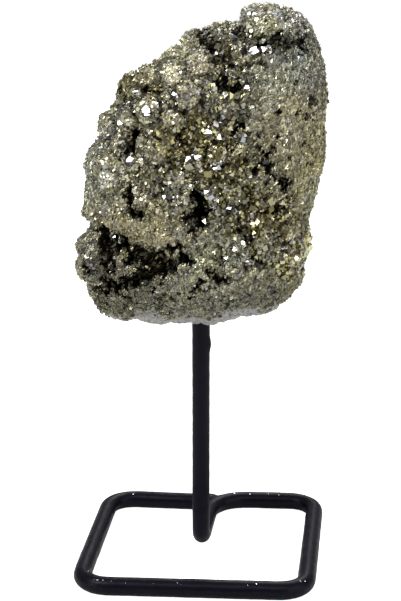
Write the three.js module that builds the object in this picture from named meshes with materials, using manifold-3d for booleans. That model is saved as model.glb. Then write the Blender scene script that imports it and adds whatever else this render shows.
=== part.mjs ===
// A pyrite cluster on a display stand that is bent from one steel rod.
// Millimetres, +Z up. The origin is under the middle of the whole object, on the surface it stands on.
// +X is to the right and -Y towards a person who looks at the show side.

import * as THREE from "three";
import { mergeVertices } from "three/addons/utils/BufferGeometryUtils.js";
import Module from "manifold-3d";

const wasm = await Module();
wasm.setup();

// ---------- driving dimensions ----------

const ROD = 4.0; // diameter of the painted rod
const ROD_SIDES = 16; // flats round the rod, with one flat underneath
const BASE_SIDE = 52.3; // front bar, from axis to axis of the side bars, and depth of the frame
const REAR_WIDTH = 53.9; // the hand-bent frame is a little wider at the back
const REAR_SHIFT = 2.5; // and leans a little to the right there
const CORNER_BEND = 6.5; // bend radius at the rod's axis, at the frame's corners
const FOOT_BEND = 3.0; // bend radius where the upright meets the ground
const SPUR_BEND = 9.5; // bend radius where the spur meets the rear bar
const SPUR_LEAN = 1.6; // the spur leans this much to the right on its way back
const BEND_STEPS = 6; // straight facets along each bend
const POST = { x: -0.6, y: 1.4 }; // the upright's axis, from the middle of the frame
const POST_TOP = 69.0;
const REAR_OFFSET = 2.0; // the bar's left half lies this much nearer than its right half at the weld
const END_GAP = 0.6; // the rod's far end is this far left of the upright's axis, beside the spur's bend
const WELD = { x: 1.2, y: 0.3, length: 5.4, width: 4.8, height: 3.9 }; // bead that fills that corner

const ROCK_TURN = THREE.MathUtils.degToRad(3.45); // the show side is turned this much on the upright
const ROCK_CENTRE = new THREE.Vector3(-1, 2, 85); // rays from here reach all of the skin
const ROCK_REACH = new THREE.Vector3(26, 17, 38); // how the rays spread: wide, shallow and tall
const ROCK_FACETS = 17; // each side of the starting icosahedron is cut into this many and one
const CREASE = 0.8; // how soft the creases between the lobes are
const GRAIN = 0.35; // height of the fine unevenness
const GLUE_GAP = 0.3; // round the rod in its drilled hole
const HOLE_TOP = 69.6;

// ---------- the rod ----------

const rodMiddle = ROD / 2;

// A curve whose even steps fall on given stations, so that straight bars need no steps between.
class StationCurve extends THREE.Curve {
  constructor(stations) {
    super();
    this.stations = stations;
  }
  getPoint(t, target = new THREE.Vector3()) {
    const at = t * (this.stations.length - 1);
    const i = Math.min(Math.floor(at), this.stations.length - 2);
    return target.lerpVectors(this.stations[i], this.stations[i + 1], at - i);
  }
  getPointAt(t, target) {
    return this.getPoint(t, target);
  }
  getTangentAt(t, target = new THREE.Vector3()) {
    const last = this.stations.length - 1;
    const i = Math.round(t * last);
    const before = this.stations[Math.max(i - 1, 0)];
    const after = this.stations[Math.min(i + 1, last)];
    return target.subVectors(after, before).normalize();
  }
}

// The stations of a path through corner points, each rounded to a bend of its own radius.
function bentPath(corners) {
  const stations = [corners[0].at];
  for (let i = 1; i < corners.length - 1; i++) {
    const { at, bend } = corners[i];
    const back = corners[i - 1].at.clone().sub(at).normalize();
    const on = corners[i + 1].at.clone().sub(at).normalize();
    const half = back.angleTo(on) / 2;
    const middle = back.clone().add(on).normalize().multiplyScalar(bend / Math.sin(half)).add(at);
    const first = back.clone().multiplyScalar(bend / Math.tan(half)).add(at).sub(middle);
    const last = on.clone().multiplyScalar(bend / Math.tan(half)).add(at).sub(middle);
    const axis = first.clone().cross(last).normalize();
    const sweep = first.angleTo(last);
    for (let k = 0; k <= BEND_STEPS; k++) {
      stations.push(first.clone().applyAxisAngle(axis, (sweep * k) / BEND_STEPS).add(middle));
    }
  }
  stations.push(corners[corners.length - 1].at);
  return stations;
}

// The rod's section: a regular polygon, turned by an angle so that a flat faces down in the frame.
function rodSection(turn) {
  const points = [];
  for (let k = 0; k < ROD_SIDES; k++) {
    const angle = ((k + 0.5) / ROD_SIDES) * 2 * Math.PI + turn;
    const reach = rodMiddle / Math.cos(Math.PI / ROD_SIDES);
    points.push(new THREE.Vector2(reach * Math.cos(angle), reach * Math.sin(angle)));
  }
  return new THREE.Shape(points);
}

function rodAlong(stations, turn) {
  const path = new StationCurve(stations);
  const geometry = new THREE.ExtrudeGeometry(rodSection(turn), {
    steps: stations.length - 1,
    extrudePath: path,
    curveSegments: 1,
  });
  return solidOf(geometry);
}

// ---------- geometry to solid and back ----------

function solidOf(geometry) {
  const bare = geometry.clone();
  bare.deleteAttribute("normal");
  bare.deleteAttribute("uv");
  const merged = mergeVertices(bare, 1e-4);
  return new wasm.Manifold(
    new wasm.Mesh({
      numProp: 3,
      vertProperties: new Float32Array(merged.attributes.position.array),
      triVerts: new Uint32Array(merged.index.array),
    }),
  );
}

function geometryOf(solid) {
  const mesh = solid.getMesh();
  const geometry = new THREE.BufferGeometry();
  geometry.setAttribute("position", new THREE.BufferAttribute(mesh.vertProperties, 3));
  geometry.setIndex(new THREE.BufferAttribute(mesh.triVerts, 1));
  geometry.computeVertexNormals();
  return geometry;
}

// ---------- the stand: upright, spur and frame in one rod ----------

function wireStand() {
  const low = (x, y) => new THREE.Vector3(x, y, rodMiddle);
  const front = -BASE_SIDE / 2;
  const rear = BASE_SIDE / 2;
  const spurTurn = Math.atan2(SPUR_LEAN, rear - POST.y);
  const bent = rodAlong(
    bentPath([
      { at: new THREE.Vector3(POST.x, POST.y, POST_TOP) },
      { at: low(POST.x, POST.y), bend: FOOT_BEND },
      { at: low(POST.x + SPUR_LEAN, rear), bend: SPUR_BEND },
      { at: low(REAR_WIDTH / 2 + REAR_SHIFT / 2, rear), bend: CORNER_BEND },
      { at: low(BASE_SIDE / 2 - REAR_SHIFT / 2, front), bend: CORNER_BEND },
      { at: low(-BASE_SIDE / 2 - REAR_SHIFT / 2, front), bend: CORNER_BEND },
      { at: low(-REAR_WIDTH / 2 + REAR_SHIFT / 2, rear - REAR_OFFSET / 2), bend: CORNER_BEND },
      { at: low(POST.x - END_GAP, rear - REAR_OFFSET) },
    ]),
    spurTurn,
  );
  const bead = new THREE.SphereGeometry(0.5, 16, 12);
  bead.scale(WELD.length, WELD.width, WELD.height);
  bead.translate(POST.x + WELD.x, rear - REAR_OFFSET + WELD.y, rodMiddle);

  const paint = new THREE.MeshStandardMaterial({ color: 0x1a1a1c, roughness: 0.32, metalness: 0.0 });
  const mesh = new THREE.Mesh(geometryOf(bent.add(solidOf(bead))), paint);
  mesh.name = "wire_stand";
  return mesh;
}

// ---------- the pyrite: lobes that grew into one another ----------

// Each lobe is a ball: its middle as x, y, z from the upright's foot, and its radius.
const LOBES = [
  // the thick middle
  [2, 1, 96, 16],
  [4, 1, 84, 16],
  [-6, 1, 88, 15],
  [6, 1, 107, 15],
  // the rounded head and the smooth flank under it, on the right
  [16.7, 1, 121.9, 9.9],
  [13.2, 0, 124.6, 7.4],
  [18.6, 0, 115.6, 9.8],
  [15.4, 0, 110, 14],
  [17.5, -1, 100, 11.6],
  [13.3, -1, 91, 13.6],
  [12, 1, 77, 14],
  [12, 0, 72, 12.3],
  [10.5, 0, 69.4, 10.6],
  // the row of knobs that steps down on the left
  [5.4, 1, 120.7, 7.3],
  [-0.7, 1, 119.1, 7.4],
  [-7.4, 0, 113, 7.6],
  [-12.4, 1, 110.2, 7.4],
  [-14.6, 0, 101, 9.4],
  [-18.3, -2, 94.8, 8.6],
  [-15.4, 1, 87.6, 11.6],
  [-24.3, -3, 84.4, 2.9],
  [-21, -3, 79, 5.6],
  // the low end, with the round knob at the left
  [-23.8, -5, 74, 5.9],
  [-22, -3, 69.8, 5.4],
  [-17, -6, 73, 7],
  [-17.4, -1, 66.7, 8.4],
  [-9, 0, 70, 12.4],
  [1, 0, 70.4, 12.9],
  // the show side, which stands out towards the viewer
  [-14.5, -7, 87, 8],
  [-7.5, -8, 83.5, 8],
  [-1.5, -8, 73.5, 8.6],
  [7, -7.5, 71.5, 8.6],
  [9.5, -9, 80, 8],
  [7, -9, 89, 7.2],
  [-4, -8, 95, 8],
  [-12.3, -7.5, 107, 5.4],
  [-6.3, -8.6, 106.4, 5.2],
  [-2.8, -7.4, 112, 5.6],
  [-14.5, -6.5, 97, 7],
  [15.5, -7, 108.5, 8],
  [17.5, -6.5, 103, 7.8],
  [17, -6, 96, 8.2],
  [14, -6, 119, 7.4],
  [-12, -6.5, 68.5, 6.6],
  // the back, which is flatter
  [-8, 8, 80, 9],
  [6, 8, 78, 9.6],
  [12, 7, 92, 8.6],
  [-6, 8, 98, 8.8],
  [8, 7.5, 106, 8.4],
];

// Valleys in the show side: from one point to another, and the radius that hollows them.
const VALLEYS = [
  // under the big curved ridge at the left
  [[-25, -13, 79], [-15, -18, 76.5], 3],
  [[-15, -18, 76.5], [-4, -21, 76.5], 3.4],
  // the band of coarse crystals down the middle
  [[4, -17.5, 114], [1, -21, 99], 4],
  [[1, -21, 99], [1, -20.5, 84], 3.4],
  // under the head
  [[4, -14, 121.5], [13, -16.5, 121], 2.6],
];

// Distance to a round-ended bar from p, negative inside it.
function barDistance(p, [from, to, radius]) {
  const start = new THREE.Vector3(...from);
  const along = new THREE.Vector3(...to).sub(start);
  const reach = p.clone().sub(start);
  const t = THREE.MathUtils.clamp(reach.dot(along) / along.lengthSq(), 0, 1);
  return reach.addScaledVector(along, -t).length() - radius;
}

// The fine unevenness: crossed waves of a few lengths, from -1 to 1.
function unevenness(p) {
  const long = Math.sin(0.9 * p.x + 1.3) * Math.sin(0.8 * p.y + 0.4) * Math.sin(0.85 * p.z + 2.1);
  const short = Math.sin(1.9 * p.x - 0.7 * p.z) * Math.sin(1.7 * p.z + 0.6 * p.y + 1.1);
  return 0.6 * long + 0.4 * short;
}

// Negative inside the rock: a smooth union of the lobes, with the valleys hollowed out of it.
function rockField(p) {
  let sum = 0;
  for (const [x, y, z, radius] of LOBES) {
    const distance = Math.hypot(p.x - x, p.y - y, p.z - z) - radius;
    sum += Math.exp(-distance / CREASE);
  }
  let field = -CREASE * Math.log(sum + 1e-30) + GRAIN * unevenness(p);
  for (const valley of VALLEYS) {
    const inside = Math.exp(-barDistance(p, valley) / CREASE);
    field = CREASE * Math.log(Math.exp(field / CREASE) + inside);
  }
  return field;
}

// How far the rock reaches from its centre along a ray, as a share of ROCK_REACH.
function reachAlong(ray) {
  const at = (t) => ray.clone().multiplyScalar(t).add(ROCK_CENTRE);
  let outside = 1.9;
  while (outside > 0.1 && rockField(at(outside)) > 0) outside -= 0.01;
  let inside = outside;
  outside += 0.01;
  for (let i = 0; i < 12; i++) {
    const middle = (inside + outside) / 2;
    if (rockField(at(middle)) > 0) outside = middle;
    else inside = middle;
  }
  return inside;
}

function pyriteCluster() {
  const geometry = new THREE.IcosahedronGeometry(1, ROCK_FACETS);
  geometry.deleteAttribute("normal");
  geometry.deleteAttribute("uv");
  const ball = mergeVertices(geometry, 1e-4);
  const position = ball.attributes.position;
  for (let i = 0; i < position.count; i++) {
    const ray = new THREE.Vector3().fromBufferAttribute(position, i).multiply(ROCK_REACH);
    const point = ray.clone().multiplyScalar(reachAlong(ray)).add(ROCK_CENTRE);
    position.setXYZ(i, point.x, point.y, point.z);
  }
  const drill = new THREE.CylinderGeometry(rodMiddle + GLUE_GAP, rodMiddle + GLUE_GAP, HOLE_TOP, ROD_SIDES);
  drill.rotateX(Math.PI / 2);
  drill.translate(0, 0, HOLE_TOP / 2);

  const metal = new THREE.MeshStandardMaterial({ color: 0x8f8a6c, roughness: 0.35, metalness: 1.0 });
  const mesh = new THREE.Mesh(geometryOf(solidOf(ball).subtract(solidOf(drill))), metal);
  mesh.name = "pyrite_cluster";
  mesh.position.set(POST.x, POST.y, 0);
  mesh.rotation.z = ROCK_TURN;
  return mesh;
}

// ---------- the object, with its origin under its middle ----------

const specimen = new THREE.Group();
specimen.add(wireStand(), pyriteCluster());
specimen.updateMatrixWorld(true);
const extent = new THREE.Box3().setFromObject(specimen, true);
const middle = extent.getCenter(new THREE.Vector3());
specimen.position.set(-middle.x, -middle.y, -extent.min.z);

export default specimen;
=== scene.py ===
import itertools
import math
from collections import namedtuple

import bpy
import numpy as np
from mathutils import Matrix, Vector
from mathutils.kdtree import KDTree


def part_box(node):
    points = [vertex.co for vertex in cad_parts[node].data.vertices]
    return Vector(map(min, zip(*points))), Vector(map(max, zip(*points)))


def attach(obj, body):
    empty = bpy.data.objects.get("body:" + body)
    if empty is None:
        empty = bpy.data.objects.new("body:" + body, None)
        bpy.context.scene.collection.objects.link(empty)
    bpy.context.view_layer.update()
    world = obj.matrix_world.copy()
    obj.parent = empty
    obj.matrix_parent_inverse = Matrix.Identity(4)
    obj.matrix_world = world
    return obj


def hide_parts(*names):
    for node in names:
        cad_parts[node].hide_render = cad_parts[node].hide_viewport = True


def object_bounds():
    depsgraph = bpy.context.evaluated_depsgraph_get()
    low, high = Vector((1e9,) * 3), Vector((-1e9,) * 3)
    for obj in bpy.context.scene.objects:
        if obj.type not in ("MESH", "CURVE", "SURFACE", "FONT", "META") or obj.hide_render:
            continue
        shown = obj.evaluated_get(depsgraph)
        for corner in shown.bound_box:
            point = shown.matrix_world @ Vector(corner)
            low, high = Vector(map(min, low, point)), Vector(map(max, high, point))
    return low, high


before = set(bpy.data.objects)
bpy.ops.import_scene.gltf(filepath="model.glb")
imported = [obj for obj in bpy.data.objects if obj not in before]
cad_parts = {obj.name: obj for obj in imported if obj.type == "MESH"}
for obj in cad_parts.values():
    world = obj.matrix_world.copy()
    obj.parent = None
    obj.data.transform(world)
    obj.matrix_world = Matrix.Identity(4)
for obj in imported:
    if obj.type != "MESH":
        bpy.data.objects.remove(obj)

# A pyrite cluster on a bent-rod stand. Metres throughout; the show side faces -Y.

CAD_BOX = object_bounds()
MM = 0.001
rng = np.random.default_rng(11)

# ---------- driving sizes ----------

ROCK_VOXEL = 0.40 * MM  # mesh size of the cluster's body
ROD_VOXEL = 0.40 * MM  # mesh size of the stand
ROD_SWELL = 0.20 * MM  # the paint stands this far out from the bare rod
DRIP_HEIGHT = 0.35 * MM  # of the run of paint on the upright

BODY_SINK = 0.50 * MM  # the body lies this far under the CAD skin, and the crystals stand out of it
COARSE_SINK = 0.35 * MM  # and this much deeper where they are coarse
LOBE_SPACING = 5.2 * MM
LOBE_HEIGHT = 1.7 * MM
BUD_SPACING = 2.1 * MM  # of the small swellings on the lobes
BUD_HEIGHT = 0.75 * MM
DOME_LEVEL = 0.65  # share of a swelling's height that lies under the skin
DOME_SAMPLES = 9000  # points that the middles of the swellings are chosen from
PIT_DEPTH = 1.5 * MM
GRAIN_HEIGHT = 0.06 * MM

HOLE_REACH = 3.0 * MM  # no crystals grow this near to the upright's axis
HOLE_DEPTH = 14 * MM  # up to this height above the cluster's lowest point

# How much of the light each kind of hollow takes away, as painted shade in the tint.
CLEFT_LOSS = 0.79
PIT_LOSS = 0.92
HOLLOW_LOSS = 0.75
SHADOW_PATCH_LOSS = 0.78
CREASE_LOSS = 0.55
LEAST_BODY_SHADE = 0.16  # what is left of the body's tint in the darkest hollow
LEAST_CRYSTAL_SHADE = 0.26  # and of a crystal's

DAZZLE_SIZE = 0.95 * MM  # crystals larger than this flash only where they are listed
DAZZLE_AIM = 0.99  # cosine of the angle within which a face flashes
FLASH_SCALE = 1.12  # the listed faces are this much larger than their table says
COMPANIONS = 6  # smaller crystals on each of them

ROCK_LOW, ROCK_HIGH = (np.array(corner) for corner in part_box("pyrite_cluster"))
ROCK_SPAN = ROCK_HIGH - ROCK_LOW
STAND_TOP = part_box("wire_stand")[1][2]

# ---------- places on the show side ----------
# Each place is a share of the cluster's width from the left, and of its height from the bottom.

# Clefts and holes: the points of a line, its half width and its depth, in millimetres.
CLEFTS = [
    # The long cleft under the left lobe, and the one below it.
    (
        [(0.118, 0.337), (0.155, 0.312), (0.200, 0.285), (0.255, 0.268), (0.320, 0.262), (0.435, 0.296)],
        1.1, 4.2,
    ),
    ([(0.240, 0.258), (0.310, 0.250)], 1.5, 3.6),
    (
        [(0.100, 0.138), (0.163, 0.150), (0.217, 0.170), (0.276, 0.195), (0.334, 0.212), (0.465, 0.264)],
        1.4, 4.6,
    ),
    ([(0.350, 0.226), (0.440, 0.252)], 1.5, 3.6),
    ([(0.10, 0.330), (0.155, 0.270), (0.165, 0.215)], 1.0, 2.4),
    # The hole in the middle.
    ([(0.510, 0.438), (0.512, 0.400), (0.508, 0.368)], 1.6, 5.5),
    ([(0.500, 0.360), (0.482, 0.332)], 0.8, 2.6),
    ([(0.500, 0.365), (0.474, 0.384)], 1.4, 3.4),
    # The holes at the left.
    ([(0.244, 0.448), (0.240, 0.430)], 1.4, 3.8),
    ([(0.258, 0.392), (0.285, 0.380)], 1.2, 3.4),
    ([(0.257, 0.630), (0.252, 0.605), (0.247, 0.578)], 1.3, 4.5),
    ([(0.232, 0.582), (0.200, 0.575)], 0.9, 2.2),
    ([(0.065, 0.215), (0.056, 0.192)], 0.9, 2.4),
    # The cracks in the foot.
    ([(0.548, 0.232), (0.556, 0.215), (0.576, 0.190), (0.611, 0.184)], 0.80, 2.8),
    ([(0.510, 0.190), (0.500, 0.160), (0.480, 0.140)], 0.75, 3.0),
    # The hollows round the head.
    ([(0.508, 0.925), (0.530, 0.896), (0.550, 0.872)], 1.3, 2.8),
    ([(0.640, 0.925), (0.665, 0.900)], 1.0, 2.2),
    ([(0.720, 0.888), (0.775, 0.892), (0.820, 0.898), (0.864, 0.888), (0.902, 0.864)], 1.3, 2.6),
    ([(0.590, 0.845), (0.600, 0.820)], 0.8, 1.2),
    ([(0.580, 0.782), (0.615, 0.768), (0.645, 0.764)], 1.3, 3.2),
    # The gaps down the right of the middle.
    ([(0.640, 0.640), (0.665, 0.650)], 0.9, 2.0),
    ([(0.715, 0.585), (0.765, 0.572)], 0.9, 2.8),
    ([(0.728, 0.529), (0.781, 0.540)], 1.0, 2.8),
    ([(0.815, 0.501), (0.845, 0.462)], 0.9, 2.6),
    ([(0.775, 0.397), (0.813, 0.402)], 0.9, 2.4),
    ([(0.660, 0.350), (0.690, 0.330)], 0.9, 2.2),
    ([(0.700, 0.274), (0.722, 0.262), (0.747, 0.246)], 0.8, 2.2),
    # Small gaps among the upper lobes.
    ([(0.300, 0.745)], 1.0, 2.2),
    ([(0.178, 0.741), (0.205, 0.735)], 0.9, 1.8),
    ([(0.410, 0.610), (0.450, 0.600)], 0.8, 0.7),
]

# Pits in the smooth crust: place and half width in millimetres.
PITS = [
    (0.804, 0.697, 0.60), (0.943, 0.721, 1.00), (0.914, 0.671, 0.65), (0.805, 0.626, 0.55),
    (0.883, 0.694, 0.40), (0.767, 0.486, 0.45), (0.850, 0.560, 0.40), (0.905, 0.600, 0.45),
    (0.870, 0.780, 0.40), (0.835, 0.845, 0.50), (0.330, 0.150, 0.55), (0.400, 0.120, 0.45),
    (0.233, 0.116, 0.65), (0.262, 0.110, 0.50), (0.210, 0.120, 0.45), (0.700, 0.140, 0.50),
    (0.845, 0.210, 0.60), (0.430, 0.140, 0.45), (0.360, 0.175, 0.50), (0.930, 0.530, 0.40),
]

# Knobs that stand out: place, radius and height in millimetres.
KNOBS = [
    (0.408, 0.668, 2.5, 2.0), (0.205, 0.594, 2.3, 1.7), (0.459, 0.743, 2.9, 1.5), (0.308, 0.698, 2.9, 1.6),
    (0.340, 0.575, 2.8, 1.4), (0.575, 0.570, 2.4, 1.2), (0.225, 0.670, 2.3, 1.3), (0.395, 0.800, 2.7, 1.4),
    (0.500, 0.830, 2.7, 1.3), (0.290, 0.790, 2.6, 1.2), (0.640, 0.450, 2.4, 1.0), (0.150, 0.480, 2.8, 1.0),
    (0.420, 0.500, 2.2, 1.0), (0.130, 0.640, 2.6, 1.2), (0.620, 0.700, 2.2, 1.0), (0.660, 0.860, 2.4, 1.2),
    (0.760, 0.300, 2.4, 1.0), (0.860, 0.330, 2.6, 1.0), (0.640, 0.230, 2.6, 0.9), (0.100, 0.250, 2.8, 1.2),
]

# Places on the outline that are drawn in, or let out where the depth is negative: place, half width
# and depth in millimetres.
NIPS = [
    (0.060, 0.334, 2.0, 1.4), (0.080, 0.138, 2.0, 2.4), (0.058, 0.155, 1.8, 1.4), (0.094, 0.600, 2.4, 0.9),
    (0.303, 0.835, 3.0, 1.0), (0.395, 0.897, 3.0, 1.2), (0.632, 0.952, 2.2, 1.6), (0.985, 0.726, 7.0, 0.55),
    (0.930, 0.200, 3.0, 0.8), (0.850, 0.080, 5.0, 0.5), (0.700, 0.020, 5.0, 0.7), (0.055, 0.480, 4.5, 0.35),
    (0.000, 0.235, 2.2, 0.7), (0.018, 0.280, 2.2, -0.9), (0.108, 0.105, 2.4, 0.7), (0.985, 0.600, 5.0, 0.35),
]

# Patches where the fine crystals all lie one way: place, half width and half height, and how strictly.
STREAKED_PATCHES = [(0.86, 0.68, 0.22, 0.24, 1.0), (0.93, 0.45, 0.10, 0.12, 0.6)]

# Patches of coarse crystals: place, half width and half height as shares, and how coarse, 0 to 1.
COARSE_PATCHES = [
    (0.60, 0.86, 0.09, 0.07, 0.8), (0.58, 0.74, 0.14, 0.09, 0.8), (0.54, 0.62, 0.17, 0.09, 1.0),
    (0.52, 0.52, 0.20, 0.10, 1.0), (0.62, 0.42, 0.17, 0.09, 1.0), (0.78, 0.36, 0.12, 0.10, 1.0),
    (0.86, 0.25, 0.08, 0.09, 1.0), (0.34, 0.68, 0.14, 0.08, 0.8), (0.30, 0.52, 0.13, 0.07, 0.6),
    (0.22, 0.78, 0.08, 0.05, 0.5), (0.68, 0.275, 0.13, 0.07, 0.8), (0.27, 0.24, 0.13, 0.05, 0.2),
    (0.70, 0.90, 0.07, 0.04, 0.6), (0.42, 0.42, 0.10, 0.05, 0.5), (0.12, 0.72, 0.06, 0.05, 0.4),
]

# Broad even patches, partly the crust's own colour and partly painted light and shade: place, half width and
# half height, and what red, green and blue are multiplied by. They overlap, and each has a soft and ragged
# edge.
TONE_AND_SHADE_PATCHES = [
    # The head: cool and pale on top, partly painted light, with painted shade at its back edge and under its
    # brow.
    (0.68, 0.97, 0.22, 0.07, 1.25, 1.27, 1.38), (0.90, 0.93, 0.06, 0.04, 0.80, 0.82, 0.86),
    (0.75, 0.93, 0.06, 0.03, 1.08, 1.10, 0.98), (0.75, 0.865, 0.07, 0.03, 0.72, 0.72, 0.74),
    # The upper left slope: pale lobes.
    (0.40, 0.87, 0.10, 0.05, 1.15, 1.17, 1.12), (0.50, 0.80, 0.10, 0.06, 1.30, 1.28, 1.30),
    (0.34, 0.78, 0.06, 0.04, 1.35, 1.34, 1.30), (0.14, 0.80, 0.10, 0.10, 1.00, 1.02, 0.86),
    # The top right: cool crust, with painted shade along its edges and in the hollow beside it.
    (0.80, 0.82, 0.14, 0.08, 0.98, 1.03, 1.06), (0.93, 0.85, 0.07, 0.12, 0.95, 0.97, 1.05),
    (0.71, 0.80, 0.08, 0.04, 0.76, 0.75, 0.74), (0.95, 0.76, 0.06, 0.06, 0.80, 0.79, 0.82),
    # The right flank: warm crust.
    (0.86, 0.62, 0.14, 0.14, 1.02, 1.00, 0.90), (0.94, 0.45, 0.07, 0.20, 0.98, 0.98, 0.88),
    # The middle: bright violet-grey lobes over a dark golden band.
    (0.38, 0.70, 0.09, 0.04, 1.55, 1.53, 1.60), (0.56, 0.75, 0.07, 0.04, 1.55, 1.57, 1.75),
    (0.56, 0.70, 0.06, 0.03, 0.80, 0.80, 0.84), (0.26, 0.64, 0.07, 0.03, 1.70, 1.70, 1.66),
    (0.58, 0.64, 0.06, 0.03, 1.42, 1.40, 1.55), (0.46, 0.61, 0.15, 0.06, 0.96, 0.94, 0.84),
    (0.43, 0.58, 0.06, 0.03, 1.55, 1.56, 1.68), (0.44, 0.52, 0.14, 0.03, 1.14, 1.14, 1.16),
    (0.68, 0.43, 0.09, 0.05, 0.80, 0.79, 0.76),
    # The left side: pale lobes.
    (0.07, 0.50, 0.08, 0.14, 1.12, 1.16, 1.20), (0.19, 0.52, 0.07, 0.04, 1.65, 1.65, 1.66),
    (0.12, 0.57, 0.06, 0.04, 0.80, 0.80, 0.80), (0.25, 0.36, 0.20, 0.07, 1.04, 1.01, 0.93),
    # The lower right: bright crystals.
    (0.76, 0.35, 0.06, 0.04, 1.45, 1.43, 1.36), (0.87, 0.260, 0.07, 0.06, 1.62, 1.60, 1.54),
    # The foot: pale islands between the clefts, and darker below.
    (0.30, 0.24, 0.08, 0.05, 1.40, 1.40, 1.34), (0.11, 0.22, 0.06, 0.05, 0.55, 0.55, 0.57),
    (0.55, 0.24, 0.12, 0.05, 0.88, 0.90, 0.84), (0.63, 0.275, 0.07, 0.04, 1.05, 1.08, 1.20),
    (0.50, 0.09, 0.60, 0.09, 0.70, 0.72, 0.72), (0.20, 0.11, 0.15, 0.09, 0.76, 0.76, 0.71),
    (0.82, 0.13, 0.12, 0.06, 0.84, 0.84, 0.84),
]

# Patches where golden and bronze crystals gather: place, half width and half height, and how many.
WARM_PATCHES = [
    (0.50, 0.60, 0.16, 0.08, 1.0), (0.62, 0.50, 0.14, 0.09, 0.8), (0.80, 0.36, 0.12, 0.12, 0.8),
    (0.88, 0.22, 0.08, 0.08, 0.7), (0.22, 0.78, 0.12, 0.06, 0.7), (0.30, 0.24, 0.14, 0.05, 0.7),
    (0.55, 0.76, 0.10, 0.08, 0.6), (0.30, 0.36, 0.14, 0.05, 0.2), (0.68, 0.86, 0.05, 0.05, 0.5),
]

# Large single faces that flash: place, and the crystal's size in millimetres. The second, fourth and so on
# are octahedra, and the rest broken faces.
FLASHES = [
    (0.316, 0.698, 2.2), (0.336, 0.722, 1.6), (0.409, 0.747, 1.6), (0.539, 0.638, 2.4), (0.461, 0.561, 1.7),
    (0.502, 0.570, 1.8), (0.248, 0.555, 1.3), (0.567, 0.532, 1.7), (0.605, 0.746, 1.1), (0.525, 0.457, 1.3),
    (0.712, 0.872, 2.0), (0.744, 0.876, 1.8), (0.679, 0.769, 1.2), (0.580, 0.622, 1.1), (0.420, 0.445, 0.9),
    (0.381, 0.448, 0.9), (0.293, 0.552, 0.9), (0.641, 0.319, 1.2), (0.675, 0.314, 1.2), (0.702, 0.274, 1.1),
    (0.163, 0.298, 0.9), (0.248, 0.747, 1.1), (0.202, 0.650, 1.2), (0.707, 0.976, 1.0), (0.839, 0.272, 0.9),
    (0.646, 0.296, 1.1), (0.612, 0.262, 0.9), (0.690, 0.248, 0.9), (0.885, 0.300, 0.9), (0.868, 0.235, 1.0),
    (0.905, 0.200, 0.8), (0.830, 0.205, 0.8), (0.470, 0.480, 0.9), (0.560, 0.480, 0.8), (0.620, 0.560, 0.9),
]

# Patches of painted shadow, where the crust's tint is darkened: place, half width and half height, and how
# dark.
DARK_PATCHES = [
    (0.25, 0.222, 0.19, 0.070, 0.90), (0.60, 0.88, 0.10, 0.05, 0.25), (0.55, 0.73, 0.10, 0.05, 0.15),
    (0.51, 0.40, 0.06, 0.05, 0.60), (0.77, 0.50, 0.09, 0.06, 0.45), (0.83, 0.885, 0.10, 0.035, 0.65),
    (0.85, 0.29, 0.07, 0.10, 0.25), (0.12, 0.24, 0.05, 0.05, 0.85), (0.80, 0.52, 0.05, 0.03, 0.70),
    (0.57, 0.92, 0.04, 0.02, 0.40), (0.70, 0.79, 0.06, 0.04, 0.45), (0.28, 0.40, 0.05, 0.03, 0.40),
]

# Flecks in the paint of the base: how far right and back of the centre, and size, in millimetres.
NIBS = [
    (-19.9, 23.8, 0.42), (6.8, 25.0, 0.34), (11.0, 25.3, 0.20), (15.7, 25.6, 0.34), (18.4, 25.3, 0.18),
    (-23.3, -26.6, 0.28), (-22.8, -27.0, 0.26), (-21.6, -27.0, 0.16), (-19.5, -27.3, 0.26),
    (-16.2, -27.6, 0.16), (-9.8, -27.6, 0.18), (-4.1, -27.3, 0.26), (-3.4, -27.5, 0.16), (11.6, -27.3, 0.20),
    (13.9, -27.0, 0.20), (23.7, -25.0, 0.44), (24.9, -24.6, 0.18), (-25.4, -22.8, 0.16),
]

STREAK = np.array([0.37, 0.09, 0.92])  # the fine crystals of the streaked patches lie along this
FLASH = np.array([-0.25, -0.79, 0.56])  # a face turned this way shows the key light


# ---------- numbers ----------

def smooth(edge0, edge1, value):
    t = np.clip((value - edge0) / (edge1 - edge0), 0, 1)
    return t * t * (3 - 2 * t)


def normalized(vectors):
    return vectors / np.maximum(np.linalg.norm(vectors, axis=1), 1e-12)[:, None]


def ripples(points, length, count=14):
    """A smooth random field from -1 to 1 about: crossed waves near one length, in any direction."""
    directions = normalized(rng.normal(size=(count, 3)))
    waves = directions * (2 * math.pi / length * rng.uniform(0.7, 1.5, count))[:, None]
    phases = rng.uniform(0, 2 * math.pi, count)
    return np.sin(points @ waves.T + phases).sum(axis=1) * math.sqrt(2 / count) / 1.6


def share_of_show_side(points):
    """Where points are on the show side: shares of the cluster's width and height."""
    return (points[:, [0, 2]] - ROCK_LOW[[0, 2]]) / ROCK_SPAN[[0, 2]]


def from_share(place):
    """A place on the show side in metres, x and z."""
    return ROCK_LOW[[0, 2]] + np.array(place) * ROCK_SPAN[[0, 2]]


def line_distance(flat, line):
    """Distance in the show plane from flat points to a line through places."""
    corners = [from_share(place) for place in line]
    if len(corners) == 1:
        return np.linalg.norm(flat - corners[0], axis=1)
    nearest = np.full(len(flat), np.inf)
    for start, end in zip(corners, corners[1:]):
        along = end - start
        t = np.clip((flat - start) @ along / (along @ along), 0, 1)
        nearest = np.minimum(nearest, np.linalg.norm(flat - start - t[:, None] * along, axis=1))
    return nearest


# ---------- meshes ----------

def rows_of(items, name, width, kind=float):
    """One property of all the items of a mesh, a row each."""
    flat = np.empty(len(items) * width, dtype=kind)
    items.foreach_get(name, flat)
    return flat.reshape(-1, width)


def points_of(mesh):
    return rows_of(mesh.vertices, "co", 3)


def normals_of(mesh):
    return rows_of(mesh.vertex_normals, "vector", 3)


def edges_of(mesh):
    return rows_of(mesh.edges, "vertices", 2, np.int32)


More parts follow.
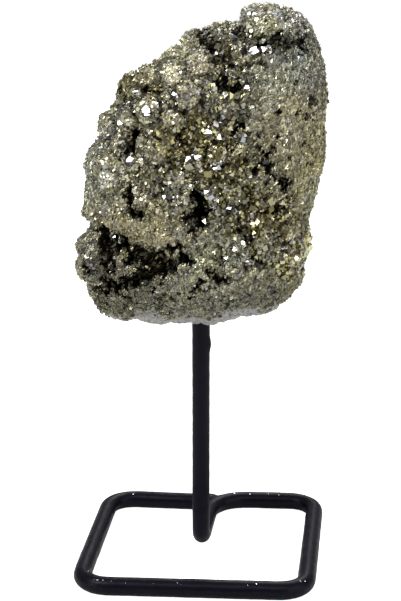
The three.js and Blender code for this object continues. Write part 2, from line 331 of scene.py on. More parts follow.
def placed(name, data):
    """A new object in the scene."""
    piece = bpy.data.objects.new(name, data)
    bpy.context.collection.objects.link(piece)
    return piece


def move_points(mesh, points):
    mesh.vertices.foreach_set("co", points.ravel())
    mesh.update()


def remeshed(node, name, voxel):
    """A new object with the CAD node's shape in an even mesh."""
    source = placed(name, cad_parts[node].data.copy())
    modifier = source.modifiers.new("even", "REMESH")
    modifier.mode = "VOXEL"
    modifier.voxel_size = voxel
    bpy.context.view_layer.update()
    evaluated = source.evaluated_get(bpy.context.evaluated_depsgraph_get())
    mesh = bpy.data.meshes.new_from_object(evaluated)
    source.modifiers.clear()
    source.data = mesh
    mesh.name = name
    mesh.materials.clear()
    return source


def relaxed(points, edges, rounds, pull=0.5):
    """Points drawn towards the mean of their neighbours."""
    count = np.bincount(edges.ravel(), minlength=len(points))[:, None]
    for _ in range(rounds):
        total = np.empty_like(points)
        for axis in range(3):
            total[:, axis] = np.bincount(edges[:, 0], points[edges[:, 1], axis], len(points))
            total[:, axis] += np.bincount(edges[:, 1], points[edges[:, 0], axis], len(points))
        points = points + (total / count - points) * pull
    return points


def paint(mesh, name, colours):
    """A colour for each vertex, from an (n, 3) array."""
    layer = mesh.color_attributes.new(name, "FLOAT_COLOR", "POINT")
    full = np.ones((len(colours), 4), dtype=np.float32)
    full[:, :3] = colours
    layer.data.foreach_set("color", full.ravel())


def surface_samples(mesh, count):
    """Random places on a mesh, evenly by area: points, normals, and the nearest vertex of each."""
    mesh.calc_loop_triangles()
    corners = rows_of(mesh.loop_triangles, "vertices", 3, np.int32)
    points = points_of(mesh)
    a, b, c = (points[corners[:, i]] for i in range(3))
    across = np.cross(b - a, c - a)
    area = np.linalg.norm(across, axis=1)
    chosen = rng.choice(len(corners), count, p=area / area.sum())
    u = rng.random(count)
    v = rng.random(count)
    flip = u + v > 1
    u[flip] = 1 - u[flip]
    v[flip] = 1 - v[flip]
    places = a[chosen] + u[:, None] * (b - a)[chosen] + v[:, None] * (c - a)[chosen]
    return places, normalized(across[chosen]), corners[chosen, 0]


# ---------- the cluster's body ----------

def crowded(point, cell, kept_by_cell, spacing):
    """Whether a point that was kept before lies within the spacing."""
    for dx, dy, dz in itertools.product((-1, 0, 1), repeat=3):
        for other in kept_by_cell.get((cell[0] + dx, cell[1] + dy, cell[2] + dz), ()):
            if np.sum((other - point) ** 2) < spacing * spacing:
                return True
    return False


def scattered_seeds(points, spacing):
    """Some of the points, chosen at random so that no two are closer than the spacing."""
    kept = []
    kept_by_cell = {}
    for index in rng.permutation(len(points)):
        point = points[index]
        cell = tuple(np.floor(point / spacing).astype(int))
        if not crowded(point, cell, kept_by_cell, spacing):
            kept_by_cell.setdefault(cell, []).append(point)
            kept.append(point)
    return np.array(kept)


def domes(points, spacing):
    """Rounded grape-like swellings a spacing apart: height from 0 in the creases to 1 on the tops."""
    seeds = scattered_seeds(points[:: max(1, len(points) // DOME_SAMPLES)], spacing)
    tree = KDTree(len(seeds))
    for i, seed in enumerate(seeds):
        tree.insert(seed, i)
    tree.balance()
    distance = np.array([tree.find(point)[2] for point in points])
    return np.sqrt(np.clip(1 - (distance / (0.95 * spacing)) ** 2, 0, 1))


def patch_cover(points, ragged, x, z, half_width, half_height):
    """How far points lie in a soft round patch of the show side, 0 to 1."""
    shares = share_of_show_side(points)
    reach = np.hypot((shares[:, 0] - x) / half_width, (shares[:, 1] - z) / half_height) + ragged
    return smooth(1.25, 0.7, reach)


def ragged_edges(points):
    """What makes the edges of patches uneven."""
    return 0.22 * ripples(points, 5 * MM) + 0.14 * ripples(points, 2 * MM)


def patchwork(points, patches):
    """The strongest of some patches of the show side at each point."""
    ragged = ragged_edges(points)
    strongest = np.zeros(len(points))
    for x, z, half_width, half_height, strength in patches:
        cover = patch_cover(points, ragged, x, z, half_width, half_height)
        strongest = np.maximum(strongest, strength * cover)
    return strongest


def front_side(facing):
    """1 on the show side, 0 on the back, with a soft edge."""
    return smooth(0.25, -0.15, facing[:, 1])


def by_side(points, facing, patches, elsewhere):
    """The strongest patch on the show side, and another value on the back."""
    front = front_side(facing)
    return front * patchwork(points, patches) + (1 - front) * elsewhere


def coarseness(points, facing):
    """How coarse the crystals are at each point, 0 for fine crust to 1 for the large ones."""
    elsewhere = smooth(0.1, 0.7, ripples(points, 26 * MM))
    return by_side(points, facing, COARSE_PATCHES, elsewhere)


def darkness(points, facing):
    """How much painted shadow darkens the crust's tint at each point, 0 to 1."""
    elsewhere = 0.6 * smooth(0.5, 1.1, ripples(points, 15 * MM))
    mottle = 0.65 + 0.5 * ripples(points, 2.2 * MM)
    return np.clip(by_side(points, facing, DARK_PATCHES, elsewhere) * mottle, 0, 1)


def warmth(points, facing):
    """How many of the crystals are golden at each point, 0 to 1."""
    elsewhere = smooth(-0.2, 0.8, ripples(points, 18 * MM))
    return by_side(points, facing, WARM_PATCHES, elsewhere)


def tones_and_shade(points, facing):
    """What the tint is multiplied by at each point, three numbers each: own colour, with painted light and
    shade in some patches.
    """
    ragged = ragged_edges(points)
    front = front_side(facing)
    tone = np.ones((len(points), 3))
    for x, z, half_width, half_height, *multiplier in TONE_AND_SHADE_PATCHES:
        cover = front * patch_cover(points, ragged, x, z, half_width, half_height)
        tone *= 1 + cover[:, None] * (np.array(multiplier) - 1)
    drift = ripples(points, 7 * MM)[:, None] * np.array([0.05, 0.04, 0.00])
    return tone * (1 + drift) * (1 + 0.10 * ripples(points, 3 * MM))[:, None]


def streaks(points):
    """Fine streaks from -1 to 1 that run along STREAK."""
    shortened = points - 0.72 * (points @ STREAK)[:, None] * STREAK
    return ripples(shortened, 1.0 * MM, 24)


def ground_edge(points, facing):
    """1 on the pale base that was ground smooth underneath, 0 elsewhere."""
    low = points[:, 2] - ROCK_LOW[2]
    downward = facing[:, 2] + 0.07 * ripples(points, 3.5 * MM)
    return smooth(7.5 * MM, 5.0 * MM, low) * smooth(-0.66, -0.78, downward)


def reach_from(flat, x, z, radius):
    """Distance in the show plane from a round place, in radii."""
    return np.linalg.norm(flat - from_share((x, z)), axis=1) / (radius * MM)


def nipped(points):
    """How far the outline is drawn in at each point, in metres."""
    depth = np.zeros(len(points))
    for x, z, half_width, deep in NIPS:
        depth += deep * MM * smooth(1.3, 0.3, reach_from(points[:, [0, 2]], x, z, half_width))
    return depth


def shifts(points, length):
    """A random shift in the show plane at each point, from -1 to 1 each way."""
    return np.stack([ripples(points, length), ripples(points, length)], axis=1)


def pit_cover(points, facing):
    """1 in the pits of the smooth crust, 0 elsewhere."""
    flat = points[:, [0, 2]] + 0.30 * MM * shifts(points, 1.6 * MM)
    nearest = np.full(len(points), np.inf)
    for x, z, half_width in PITS:
        nearest = np.minimum(nearest, reach_from(flat, x, z, half_width))
    return smooth(1.6, 0.8, nearest) * front_side(facing)


def hollows(points, facing, edges, rounds, deep):
    """How far each point lies in a hollow: 0 on open or raised skin, 1 where it is deep or more below."""
    below = np.einsum("ij,ij->i", relaxed(points, edges, rounds) - points, facing)
    return smooth(0.0, deep, below)


def warped(points):
    """The points seen from the front, pushed about so that straight lines come out ragged."""
    bend = shifts(points, 3.4 * MM)
    fray = shifts(points, 1.2 * MM)
    return points[:, [0, 2]] + 0.9 * MM * bend + 0.45 * MM * fray


def carved(points, facing):
    """How deep the clefts and holes of the show side are at each point, in metres."""
    flat = warped(points)
    front = smooth(0.35, -0.05, facing[:, 1])
    depth = np.zeros(len(points))
    for line, half_width, deep in CLEFTS:
        reach = line_distance(flat, line) / (half_width * MM)
        depth = np.maximum(depth, deep * MM * smooth(1.35, 0.45, reach))
    return depth * front


def raised(points, facing):
    """How far the knobs of the show side stand out at each point, in metres."""
    height = np.zeros(len(points))
    for x, z, radius, tall in KNOBS:
        reach = reach_from(points[:, [0, 2]], x, z, radius)
        height = np.maximum(height, tall * MM * np.sqrt(np.clip(1 - reach**2, 0, 1)))
    return height * front_side(facing)


def knob_cover(points, facing):
    """1 on the knobs, and how far each point lies in the crease round one."""
    nearest = np.full(len(points), np.inf)
    for x, z, radius, _ in KNOBS:
        nearest = np.minimum(nearest, reach_from(points[:, [0, 2]], x, z, radius))
    nearest = nearest + 0.10 * ripples(points, 1.6 * MM)
    front = front_side(facing)
    crease = smooth(0.80, 1.00, nearest) * smooth(1.50, 1.15, nearest)
    return smooth(1.0, 0.85, nearest) * front, crease * front


class Skin:
    """What is known at each vertex of the body."""

    def __init__(self, points, facing, coarse, depth, pits, hollow):
        knob, crease = knob_cover(points, facing)
        self.facing = facing
        self.coarse = coarse * (1 - 0.45 * knob)
        self.warm = warmth(points, facing) * (1 - 0.35 * knob)
        self.streaked = patchwork(points, STREAKED_PATCHES) * front_side(facing)
        streak = 1 + 0.24 * self.streaked * streaks(points)
        knob_tone = 1 + knob[:, None] * np.array([0.10, 0.10, 0.12])
        # Own colour, with painted light and shade in some patches.
        self.tone = tones_and_shade(points, facing) * knob_tone * streak[:, None]
        self.ground = ground_edge(points, facing)
        # Painted shade: the tint is darkened in the clefts, pits, hollows, shadowed patches and creases.
        cleft = smooth(0.6 * MM, 2.4 * MM, depth)
        self.shade = (1 - CLEFT_LOSS * cleft) * (1 - PIT_LOSS * pits) * (1 - HOLLOW_LOSS * hollow)
        self.shade *= (1 - SHADOW_PATCH_LOSS * darkness(points, facing)) * (1 - CREASE_LOSS * crease)


def build_body():
    """The cluster under its crystals, and what is known of its skin."""
    body = remeshed("pyrite_cluster", "pyrite_body", ROCK_VOXEL)
    mesh = body.data
    edges = edges_of(mesh)
    points = relaxed(points_of(mesh), edges, 6)
    move_points(mesh, points)
    facing = normalized(relaxed(normals_of(mesh), edges, 12))

    coarse = coarseness(points, facing)
    depth = carved(points, facing)
    left = smooth(0.75, 0.45, share_of_show_side(points)[:, 0])
    lobes = LOBE_HEIGHT * (domes(points, LOBE_SPACING) - DOME_LEVEL) * (0.25 + 0.75 * left)
    budding = 0.35 + 0.65 * smooth(-0.3, 0.6, ripples(points, 18 * MM))
    buds = BUD_HEIGHT * (domes(points, BUD_SPACING) - DOME_LEVEL) * budding
    rough = 0.20 * MM * ripples(points, 1.8 * MM, 24) + 0.13 * MM * ripples(points, 1.1 * MM, 24)
    height = lobes + buds + rough * (0.7 + 0.6 * coarse) + raised(points, facing)
    height = height - BODY_SINK - COARSE_SINK * coarse - nipped(points)
    pits = pit_cover(points, facing)
    inward = facing * 0.55 + np.array([0, -0.45, 0.06])
    points = points + facing * (height - PIT_DEPTH * pits)[:, None] - inward * depth[:, None]
    points = relaxed(points, edges, 1, 0.3)
    hollow = 0.45 * hollows(points, facing, edges, 6, 0.14 * MM)
    hollow += 0.45 * hollows(points, facing, edges, 24, 0.40 * MM)
    hollow += 0.40 * hollows(points, facing, edges, 90, 1.0 * MM)
    skin = Skin(points, facing, coarse, depth, pits, np.clip(hollow, 0, 1))
    grain = rng.normal(0, GRAIN_HEIGHT, len(points)) * (1 - 0.85 * skin.ground)
    move_points(mesh, points + facing * grain[:, None])
    return body, skin


# ---------- crystal shapes ----------

Form = namedtuple("Form", "corners faces")  # a closed crystal shape, about one unit across
LEVEL = 1e-6  # corners this near to a plane lie in it


def round_order(corners, members, normal):
    """The corners of one face in order round its middle."""
    middle = corners[members].mean(axis=0)
    first = corners[members[0]] - middle
    second = np.cross(normal, first)
    angles = []
    for member in members:
        spoke = corners[member] - middle
        angles.append(math.atan2(spoke @ second, spoke @ first))
    return [int(members[n]) for n in np.argsort(angles)]


def hull_form(corners):
    """The convex shape with these corners, with each face turned to face out."""
    corners = np.array(corners, dtype=float)
    faces = []
    seen = set()
    for i, j, k in itertools.combinations(range(len(corners)), 3):
        normal = np.cross(corners[j] - corners[i], corners[k] - corners[i])
        length = np.linalg.norm(normal)
        if length < LEVEL:
            continue  # the three corners lie in one line
        normal /= length
        offsets = corners @ normal - corners[i] @ normal
        if offsets.max() > LEVEL:
            normal = -normal
            offsets = -offsets
        if offsets.max() > LEVEL:
            continue  # the plane cuts through the shape
        members = np.nonzero(np.abs(offsets) < LEVEL)[0]
        if tuple(members) not in seen:
            seen.add(tuple(members))
            faces.append(round_order(corners, members, normal))
    return Form(corners, faces)


def cube():
    return hull_form(list(itertools.product((-0.5, 0.5), repeat=3)))


def octahedron():
    reach = 0.68
    return hull_form([v for s in (-reach, reach) for v in ((s, 0, 0), (0, s, 0), (0, 0, s))])


def octahedron_on_face():
    """An octahedron that lies on one of its faces, with the opposite one level on top."""
    around = 0.62
    rise = 0.44
    corners = []
    for i in range(6):
        angle = math.radians(60 * i)
        corners.append((around * math.cos(angle), around * math.sin(angle), rise if i % 2 else -rise))
    return hull_form(corners)


def blunted_cube():
    """A cube with its corners cut to triangles."""
    kept = 1 - 2 * 0.17
    corners = []
    for x, y, z in itertools.product((-0.5, 0.5), repeat=3):
        corners += [(x * kept, y, z), (x, y * kept, z), (x, y, z * kept)]
    return hull_form(corners)


def broken_face():
    """A slab with an uneven five-sided face on top."""
    spread = 1.15  # how much wider the slab is at its foot
    corners = []
    for angle, reach in ((10, 0.62), (75, 0.46), (140, 0.60), (215, 0.42), (290, 0.56)):
        x = reach * math.cos(math.radians(angle))
        y = reach * math.sin(math.radians(angle))
        corners += [(x, y, 0.5), (spread * x, spread * y, -0.5)]
    return hull_form(corners)


def pyritohedron():
    """Twelve five-sided faces, the habit that pyrite is named for."""
    slant = 0.5
    far = 1 + slant
    near = 1 - slant * slant
    corners = list(itertools.product((-1, 1), repeat=3))
    for a in (-far, far):
        for b in (-near, near):
            corners += [(0, a, b), (a, b, 0), (b, 0, a)]
    return hull_form(np.array(corners) * 0.36)


def chip():
    """A crystal with no even faces left, as most are where they have grown into each other."""
    return hull_form(normalized(rng.normal(size=(10, 3))) * (0.62, 0.54, 0.48))


def random_turns(count):
    """Rotation matrices spread evenly over all directions."""
    w, x, y, z = normalized(rng.normal(size=(count, 4))).T
    rows = [
        [1 - 2 * (y * y + z * z), 2 * (x * y - z * w), 2 * (x * z + y * w)],
        [2 * (x * y + z * w), 1 - 2 * (x * x + z * z), 2 * (y * z - x * w)],
        [2 * (x * z - y * w), 2 * (y * z + x * w), 1 - 2 * (x * x + y * y)],
    ]
    return np.stack([np.stack(row, axis=1) for row in rows], axis=1)


def joined_crystals(name, batches):
    """One mesh of many crystals. A batch is a form, places, turns, sizes as (n, 3) and tints as (n, 3)."""
    parts = []
    base = 0
    for form, places, turns, sizes, tints in batches:
        corners = len(form.corners)
        scaled = form.corners[None, :, :] * sizes[:, None, :]
        points = np.einsum("nij,nkj->nki", turns, scaled) + places[:, None, :]
        starts = base + np.arange(len(places)) * corners
        loops = starts[:, None] + np.concatenate(form.faces)[None, :]
        counts = np.tile([len(face) for face in form.faces], len(places))
        parts.append((points.reshape(-1, 3), np.repeat(tints, corners, axis=0), loops.ravel(), counts))
        base += len(places) * corners
    points, tints, loops, counts = (np.concatenate(column) for column in zip(*parts))
    mesh = bpy.data.meshes.new(name)
    mesh.vertices.add(len(points))
    mesh.vertices.foreach_set("co", points.ravel())
    mesh.loops.add(len(loops))
    mesh.loops.foreach_set("vertex_index", loops.astype(np.int32))
    mesh.polygons.add(len(counts))
    starts = np.concatenate([[0], np.cumsum(counts)[:-1]])
    mesh.polygons.foreach_set("loop_start", starts.astype(np.int32))
    mesh.update(calc_edges=True)
    mesh.validate()
    mesh.shade_flat()
    paint(mesh, "tint", tints)
    return placed(name, mesh)


# ---------- tints ----------

GREY_BRASS = np.array([0.66, 0.635, 0.47])
GOLD = np.array([0.68, 0.64, 0.37])
BRONZE = np.array([0.45, 0.41, 0.22])
STEEL = np.array([0.66, 0.66, 0.68])
SLATE = np.array([0.40, 0.38, 0.40])
VIOLET = np.array([0.85, 0.72, 1.35])  # what a tarnished face is multiplied by
SLATE_SHARE = 0.06  # of the crystals
STEEL_SHARE = 0.07
FINE_CRUST = np.array([0.52, 0.49, 0.36])
# Painted shade: the body's dark tint in the gaps between coarse crystals.
SHADE_BETWEEN_CRYSTALS = np.array([0.16, 0.14, 0.08])
GROUND_STONE = np.array([0.50, 0.49, 0.47])


def crystal_tints(warm, tone, shade):
    """A metal colour for each crystal: grey brass, with gold, bronze and steel among it, darkened by painted
    shade.
    """
    count = len(warm)
    tints = np.tile(GREY_BRASS, (count, 1))
    draw = rng.random(count)
    golden = 0.03 + 0.47 * warm
    bronzed = golden + 0.05 + 0.30 * warm
    tints[draw < golden] = GOLD
    tints[(draw >= golden) & (draw < bronzed)] = BRONZE
    tints[draw > 1 - SLATE_SHARE - STEEL_SHARE] = SLATE
    tints[draw > 1 - STEEL_SHARE] = STEEL
    tints = tints * tone * rng.uniform(0.5, 1.2, count)[:, None]
    return np.clip(tints * shade[:, None], 0, 1)


# ---------- crystals on the body ----------

EVEN = (1, 1, 1)
LONG = (0.8, 0.8, 2.1)
LIT_SHARE = 0.12  # of the crystals keep a painted lit tint even in a hollow
LIT_SHADE = 0.8  # and their painted shade leaves them at least this bright
COARSE_SHARES = [0.05, 0.09, 0.20, 0.14, 0.26, 0.26]  # of the forms in grow_crystals
MEDIUM_SHARES = [0.26, 0.10, 0.30, 0.0, 0.17, 0.17]
FINE_SHARES = [0.30, 0.0, 0.70, 0.0, 0.0, 0.0]


def turns_from(normals_z, hints_x):
    """Rotation matrices with the given z axes, and x axes as near the hints as they can be."""
    z = normalized(normals_z)
    y = normalized(np.cross(z, hints_x))
    return np.stack([np.cross(y, z), y, z], axis=2)


def streak_turns(normals):
    """Turns that lay each crystal's long side along the streak in the surface, give or take."""
    along = STREAK - normals * (normals @ STREAK)[:, None]
    along = normalized(along) + rng.normal(0, 0.28, normals.shape)
    return turns_from(along, rng.normal(size=normals.shape))


def dazzling(turns):
    """Which crystals would show the key light in a whole face."""
    aim = np.abs(np.einsum("nij,i->nj", turns, FLASH))
    return np.maximum(aim.max(axis=1), aim.sum(axis=1) / math.sqrt(3)) > DAZZLE_AIM


def flash_batches(body):
    """The listed large crystals, each with one face turned to the key light."""
    points = points_of(body.data)
    flat = points[:, [0, 2]]
    batches = []
    for form, chosen in ((broken_face(), FLASHES[::2]), (octahedron_on_face(), FLASHES[1::2])):
        places = []
        for x, z, _ in chosen:
            near = np.linalg.norm(flat - from_share((x, z)), axis=1) < 0.6 * MM
            candidates = points[near]
            places.append(candidates[np.argmin(candidates[:, 1])])
        count = len(chosen)
        sizes = np.array([size for _, _, size in chosen])[:, None] * FLASH_SCALE * MM
        aims = np.tile(FLASH, (count, 1)) + rng.normal(0, 0.035, (count, 3))
        places = np.array(places) - FLASH * sizes * 0.30
        turns = turns_from(aims, rng.normal(size=(count, 3)))
        tints = np.tile(STEEL * 1.2, (count, 1))
        batches.append((form, places, turns, sizes * rng.uniform(0.65, 1.1, (count, 3)), tints))
        batches.append(companions(places, sizes))
    return batches


def companions(places, sizes):
    """Smaller crystals grown over the edges of the large faces, so that their outlines are broken."""
    places = np.repeat(places, COMPANIONS, axis=0)
    sizes = np.repeat(sizes, COMPANIONS, axis=0)
    count = len(places)
    beside = rng.normal(size=(count, 3))
    beside = normalized(beside - FLASH * (beside @ FLASH)[:, None])
    places = places + beside * sizes * rng.uniform(0.40, 0.60, (count, 1)) + FLASH * sizes * 0.28
    own = np.repeat(sizes * rng.uniform(0.35, 0.60, (count, 1)), 3, axis=1)
    tints = crystal_tints(np.full(count, 0.5), np.ones((count, 3)), rng.uniform(0.3, 0.9, count))
    tints[::4] *= VIOLET
    return chip(), places, random_turns(count), own, tints


def any_way(normals):
    return random_turns(len(normals))


def grow_crystals(body, skin):
    """The crystals on the body: four meshes, from the largest kind to the finest."""
    mesh = body.data
    clear = clear_of_rod(points_of(mesh)) * (1 - skin.ground) * smooth(0.10, 0.22, skin.shade)
    forms = [cube(), blunted_cube(), octahedron(), pyritohedron(), chip(), chip()]
    pieces = []

    def grow(name, count, chance, least, more, shares, lift, power=1, turns_of=any_way, shape=EVEN, extra=()):
        """Crystals tried at random places. Sizes are in millimetres: the least, and how much more at most."""
        places, normals, vertex = surface_samples(mesh, count)
        size = (least + more * rng.random(count) ** power) * MM
        sizes = size[:, None] * np.array(shape) * rng.uniform(0.75, 1.25, (count, 3))
        turns = turns_of(skin.facing[vertex])
        places = places + normals * (lift * size)[:, None]
        # Painted shade from the skin, with a few crystals painted lit even in the hollows.
        shade = LEAST_CRYSTAL_SHADE + (1 - LEAST_CRYSTAL_SHADE) * skin.shade[vertex]
        shade = np.where(rng.random(count) < LIT_SHARE, np.maximum(shade, LIT_SHADE), shade)
        tints = crystal_tints(skin.warm[vertex], skin.tone[vertex], shade)
        kind = rng.choice(len(forms), count, p=shares)
        kept = (rng.random(count) < (chance * clear)[vertex]) & ~(dazzling(turns) & (size > DAZZLE_SIZE))
        batches = list(extra)
        for number, form in enumerate(forms):
            mine = kept & (kind == number)
            batches.append((form, places[mine], turns[mine], sizes[mine], tints[mine]))
        pieces.append(joined_crystals(name, batches))

    grow(
        "crystals_large", 6400, smooth(0.45, 0.95, skin.coarse) * smooth(0.2, 0.5, skin.shade),
        least=0.95, more=0.65, power=2, shares=COARSE_SHARES, lift=0.06, extra=flash_batches(body),
    )
    grow(
        "crystals_medium", 13000,
        smooth(0.15, 0.55, skin.coarse) * smooth(0.1, 0.4, skin.shade) * (1 - 0.4 * skin.coarse),
        least=0.62, more=0.45, shares=MEDIUM_SHARES, lift=0.05,
    )
    grow(
        "crystals_small", 19000, (0.85 - 0.6 * skin.coarse) * (1 - 0.75 * skin.streaked),
        least=0.40, more=0.35, shares=FINE_SHARES, lift=0.03,
    )
    grow(
        "crystals_streaked", 26000, (0.65 - 0.5 * skin.coarse) * (1 - skin.streaked) + skin.streaked,
        least=0.34, more=0.16, shares=FINE_SHARES, lift=0.03, turns_of=streak_turns, shape=LONG,
    )
    return pieces


def clear_of_rod(points):
    """1 where crystals may grow, 0 in and round the hole for the rod."""
    post_x, post_y = post_axis()
    reach = np.hypot(points[:, 0] - post_x, points[:, 1] - post_y)
    low = points[:, 2] < ROCK_LOW[2] + HOLE_DEPTH
    return np.where((reach < HOLE_REACH) & low, 0.0, 1.0)


def post_axis():
    """The upright's axis, from the CAD stand's highest points."""
    points = points_of(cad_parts["wire_stand"].data)
    top = points[points[:, 2] > STAND_TOP - 1 * MM]
    return (top[:, 0].min() + top[:, 0].max()) / 2, (top[:, 1].min() + top[:, 1].max()) / 2


# ---------- materials ----------

PAINT_DARK = (0.0025, 0.002, 0.006, 1)
PAINT_LIGHT = (0.0045, 0.0035, 0.010, 1)
MICA_DARK = (0.28, 0.23, 0.38, 1)
MICA_LIGHT = (0.55, 0.53, 0.62, 1)


def new_material(name):
    """A material with its node tree and its shader."""
    material = bpy.data.materials.new(name)
    material.use_nodes = True
    tree = material.node_tree
    return material, tree, tree.nodes["Principled BSDF"]


def noise(tree, scale, detail, roughness=0.5):
    """Noise fixed to the object, with about so many bumps to the metre as its scale."""
    place = tree.nodes.new("ShaderNodeTexCoord")
    node = tree.nodes.new("ShaderNodeTexNoise")
    node.inputs["Scale"].default_value = scale
    node.inputs["Detail"].default_value = detail
    node.inputs["Roughness"].default_value = roughness
    tree.links.new(place.outputs["Object"], node.inputs["Vector"])
    return node.outputs["Fac"]


def grey(value):
    return (value, value, value, 1)


def ramp(tree, source, stops, target):
    """Colours by a value, into an input. Each stop is a value and its colour."""
    node = tree.nodes.new("ShaderNodeValToRGB")
    elements = node.color_ramp.elements
    for element, (position, colour) in zip(elements, (stops[0], stops[-1])):
        element.position = position
        element.color = colour
    for position, colour in stops[1:-1]:
        elements.new(position).color = colour
    tree.links.new(source, node.inputs["Fac"])
    tree.links.new(node.outputs["Color"], target)


def painted(tree, name):
    """The node that reads a colour painted on the mesh."""
    node = tree.nodes.new("ShaderNodeAttribute")
    node.attribute_name = name
    return node


def speckled_tint(tree, source, stops, target):
    """Each vertex's own tint, darkened by a noise, into an input."""
    node = tree.nodes.new("ShaderNodeMix")
    node.data_type = "RGBA"
    node.blend_type = "MULTIPLY"
    node.inputs["Factor"].default_value = 1.0
    tree.links.new(painted(tree, "tint").outputs["Color"], node.inputs["A"])
    ramp(tree, source, stops, node.inputs["B"])
    tree.links.new(node.outputs["Result"], target)


def bump(tree, shader, source, strength, distance):
    """Fine relief from a noise."""
    node = tree.nodes.new("ShaderNodeBump")
    node.inputs["Strength"].default_value = strength
    node.inputs["Distance"].default_value = distance
    tree.links.new(source, node.inputs["Height"])
    tree.links.new(node.outputs["Normal"], shader.inputs["Normal"])


def pyrite_material(name, smoothest, roughest):
    """Brassy metal: each crystal's own tint, dulled in patches, with a fine worn grain."""
    material, tree, shader = new_material(name)
    patches = noise(tree, 420, 4.0)
    speckled_tint(tree, patches, [(0.3, grey(0.62)), (0.7, grey(1.0))], shader.inputs["Base Color"])
    grain = noise(tree, 1500, 3.0)
    ramp(tree, grain, [(0.3, grey(smoothest)), (0.7, grey(roughest))], shader.inputs["Roughness"])
    shader.inputs["Metallic"].default_value = 1.0
    bump(tree, shader, grain, 0.25, 0.05 * MM)
    return material


def body_material():
    """The crust between the crystals: finer and duller, with the pale ground edge underneath."""
    material, tree, shader = new_material("pyrite_crust")
    speckle = noise(tree, 1900, 2.0, 0.6)
    speckled_tint(tree, speckle, [(0.32, grey(0.35)), (0.62, grey(1.0))], shader.inputs["Base Color"])
    tree.links.new(painted(tree, "metal").outputs["Fac"], shader.inputs["Metallic"])
    ramp(tree, speckle, [(0.3, grey(0.22)), (0.7, grey(0.5))], shader.inputs["Roughness"])
    bump(tree, shader, speckle, 0.5, 0.08 * MM)
    return material


def paint_material():
    """Satin black paint, brushed on: a little lumpy, with dust and rubbed spots."""
    material, tree, shader = new_material("black_paint")
    lumps = noise(tree, 260, 3.0)
    dust = noise(tree, 2400, 2.0)
    ramp(tree, lumps, [(0.35, PAINT_DARK), (0.7, PAINT_LIGHT)], shader.inputs["Base Color"])
    ramp(tree, dust, [(0.35, grey(0.34)), (0.75, grey(0.46))], shader.inputs["Roughness"])
    shader.inputs["Specular IOR Level"].default_value = 0.13
    bump(tree, shader, lumps, 0.25, 0.04 * MM)
    return material


def nib_material():
    """Mica flecks in the paint, slightly violet."""
    material, tree, shader = new_material("paint_fleck")
    haze = noise(tree, 900, 2.0)
    ramp(tree, haze, [(0.3, MICA_DARK), (0.7, MICA_LIGHT)], shader.inputs["Base Color"])
    shader.inputs["Metallic"].default_value = 1.0
    shader.inputs["Roughness"].default_value = 0.18
    return material


def paint_body(body, skin):
    """The body's tint, its own colour with painted shade, and where it is metal and not ground stone."""
    # Painted shade: darker between the coarse crystals and in the hollows.
    tint = FINE_CRUST * (1 - skin.coarse)[:, None] + SHADE_BETWEEN_CRYSTALS * skin.coarse[:, None]
    shade = LEAST_BODY_SHADE + (1 - LEAST_BODY_SHADE) * skin.shade
    tint = tint * skin.tone * shade[:, None]
    tint = tint * rng.uniform(0.6, 1.3, len(tint))[:, None]
    tint = tint * (1 - skin.ground)[:, None] + GROUND_STONE * skin.ground[:, None]
    paint(body.data, "tint", np.clip(tint, 0, 1))
    metal = 1 - 0.9 * skin.ground
    paint(body.data, "metal", np.repeat(metal[:, None], 3, axis=1))


# ---------- the stand ----------

def build_stand():
    """The rod drawn smooth, with the unevenness of brushed paint and a drip on the upright."""
    stand = remeshed("wire_stand", "painted_stand", ROD_VOXEL)
    mesh = stand.data
    edges = edges_of(mesh)
    points = relaxed(points_of(mesh), edges, 9)
    move_points(mesh, points)
    facing = normalized(relaxed(normals_of(mesh), edges, 2))
    swell = ROD_SWELL + 0.02 * MM * ripples(points, 4.0 * MM) + 0.008 * MM * ripples(points, 1.6 * MM)
    post_x, post_y = post_axis()
    drip_at = np.array([post_x + 2.0 * MM, post_y - 0.4 * MM, ROCK_LOW[2] - 5.0 * MM])
    away = (points - drip_at) / np.array([1.2 * MM, 1.2 * MM, 1.6 * MM])
    swell = swell + DRIP_HEIGHT * np.exp(-np.sum(away**2, axis=1))
    points = points + facing * swell[:, None]
    points[:, 2] = np.maximum(points[:, 2], 0.0)
    move_points(mesh, points)
    mesh.polygons.foreach_set("use_smooth", np.ones(len(mesh.polygons), dtype=bool))
    mesh.update()
    return stand


def build_nibs(stand):
    """Flecks caught in the paint, each with a face turned to the key light."""
    points = points_of(stand.data)
    normals = normals_of(stand.data)
    places = []
    for x, y, _ in NIBS:
        aside = np.hypot(points[:, 0] - x * MM, points[:, 1] - y * MM)
        places.append(points[np.argmin(np.where(normals[:, 2] > 0.2, aside, np.inf))])
    count = len(NIBS)
    aims = np.tile(FLASH, (count, 1)) + rng.normal(0, 0.03, (count, 3))
    sizes = np.array([size for _, _, size in NIBS])[:, None] * MM * np.array([1.0, 0.8, 0.5])
    turns = turns_from(aims, rng.normal(size=(count, 3)))
    return joined_crystals("paint_nibs", [(cube(), np.array(places), turns, sizes, np.ones((count, 3)))])


# ---------- stage ----------

CAMERA_TURN = math.radians(3.45)  # to the right of the stand's front
CAMERA_TILT = math.radians(14.85)  # looking down
CAMERA_AWAY = 2.5  # distance from the aim, in heights of the object
AIM_SIDE = -0.6 * MM  # right of the middle
AIM_HEIGHT = 0.479  # of the object's height
LENS = 83.9  # millimetres, before a sensor 36 wide
MIDDLE = Vector((0, 0, 0.08))  # what the lights are aimed at
ROOM = [  # how pale the room is, by how far a direction turns toward the show side
    (0.0, 0.26), (0.35, 0.20), (0.65, 0.09), (0.85, 0.045), (1.0, 0.035),
]


def look_from(piece, direction):
    """Turns a camera or a light, which lies this way from its aim, towards the aim."""
    piece.rotation_euler = direction.to_track_quat("Z", "Y").to_euler()


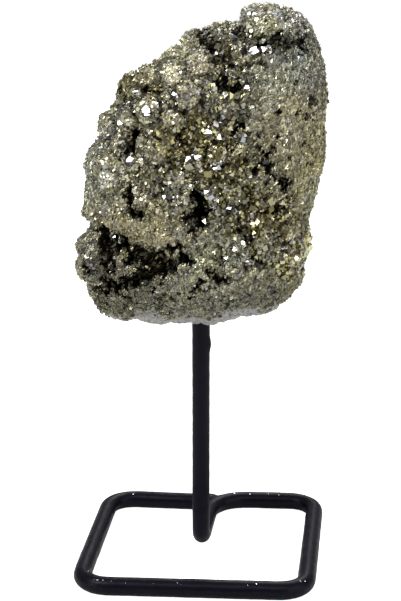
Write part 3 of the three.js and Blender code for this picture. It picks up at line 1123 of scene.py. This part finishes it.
def add_camera():
    """The camera that took the photo."""
    tall = CAD_BOX[1][2] - CAD_BOX[0][2]
    level = math.cos(CAMERA_TILT)
    back = Vector((math.sin(CAMERA_TURN) * level, -math.cos(CAMERA_TURN) * level, math.sin(CAMERA_TILT)))
    aim = Vector((AIM_SIDE, 0, AIM_HEIGHT * tall))
    data = bpy.data.cameras.new("camera")
    data.lens = LENS
    data.sensor_width = 36
    camera = placed("camera", data)
    camera.location = aim + back * CAMERA_AWAY * tall
    look_from(camera, back)
    bpy.context.scene.camera = camera


def seen_by_camera(tree):
    """1 for rays from the camera, 0 for those that a surface sends on."""
    return tree.nodes.new("ShaderNodeLightPath").outputs["Is Camera Ray"]


def add_floor():
    """A pale floor that looks plain white to the camera."""
    mesh = bpy.data.meshes.new("floor")
    reach = 1.5
    corners = [(-reach, -reach, 0), (reach, -reach, 0), (reach, reach, 0), (-reach, reach, 0)]
    mesh.from_pydata(corners, [], [(0, 1, 2, 3)])
    floor = placed("floor", mesh)
    material, tree, shader = new_material("pale_floor")
    shader.inputs["Base Color"].default_value = (0.8, 0.8, 0.8, 1)
    shader.inputs["Roughness"].default_value = 0.9
    shader.inputs["Emission Color"].default_value = (1, 1, 1, 1)
    tree.links.new(seen_by_camera(tree), shader.inputs["Emission Strength"])
    mesh.materials.append(material)


def add_light(name, place, size, power):
    """A soft square light at a place, aimed at the middle of the object."""
    data = bpy.data.lights.new(name, "AREA")
    data.shape = "SQUARE"
    data.size = size
    data.energy = power
    light = placed(name, data)
    light.location = place
    look_from(light, light.location - MIDDLE)


def add_world():
    """White where the camera sees it; elsewhere a studio, pale at the sides and dark before the show side."""
    world = bpy.data.worlds.new("studio")
    world.use_nodes = True
    tree = world.node_tree
    tree.nodes.clear()
    place = tree.nodes.new("ShaderNodeTexCoord")
    toward = tree.nodes.new("ShaderNodeVectorMath")
    toward.operation = "DOT_PRODUCT"
    toward.inputs[1].default_value = (0.0, -0.98, 0.20)
    tree.links.new(place.outputs["Generated"], toward.inputs[0])
    dim = tree.nodes.new("ShaderNodeBackground")
    ramp(tree, toward.outputs["Value"], [(turn, grey(pale)) for turn, pale in ROOM], dim.inputs["Color"])
    white = tree.nodes.new("ShaderNodeBackground")
    white.inputs["Color"].default_value = (1, 1, 1, 1)
    either = tree.nodes.new("ShaderNodeMixShader")
    tree.links.new(seen_by_camera(tree), either.inputs["Fac"])
    tree.links.new(dim.outputs["Background"], either.inputs[1])
    tree.links.new(white.outputs["Background"], either.inputs[2])
    output = tree.nodes.new("ShaderNodeOutputWorld")
    tree.links.new(either.outputs["Shader"], output.inputs["Surface"])
    bpy.context.scene.world = world


def add_studio():
    """The floor, the room and the lights."""
    add_floor()
    add_world()
    add_light("key", (-0.45, -0.40, 0.75), 0.40, 5)
    add_light("fill", (0.60, -0.45, 0.40), 0.80, 2.6)
    add_light("rim", (0.10, 0.60, 0.65), 0.40, 3)
    add_light("glint_left", (-0.70, -0.55, 0.18), 0.08, 0.8)
    add_light("glint_high", (0.15, -0.60, 0.90), 0.10, 1.2)
    bpy.context.scene.view_settings.view_transform = "Standard"


# ---------- build ----------

def dress(piece, material):
    """Gives a piece its material and its place on the part."""
    piece.data.materials.append(material)
    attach(piece, "root")


add_camera()
add_studio()

body, skin = build_body()
paint_body(body, skin)
dress(body, body_material())
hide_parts("pyrite_cluster")

bright = pyrite_material("pyrite_crystal", 0.10, 0.30)
fine = pyrite_material("pyrite_grain", 0.24, 0.48)
for piece, material in zip(grow_crystals(body, skin), (bright, bright, fine, fine)):
    dress(piece, material)

stand = build_stand()
dress(stand, paint_material())
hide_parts("wire_stand")
dress(build_nibs(stand), nib_material())
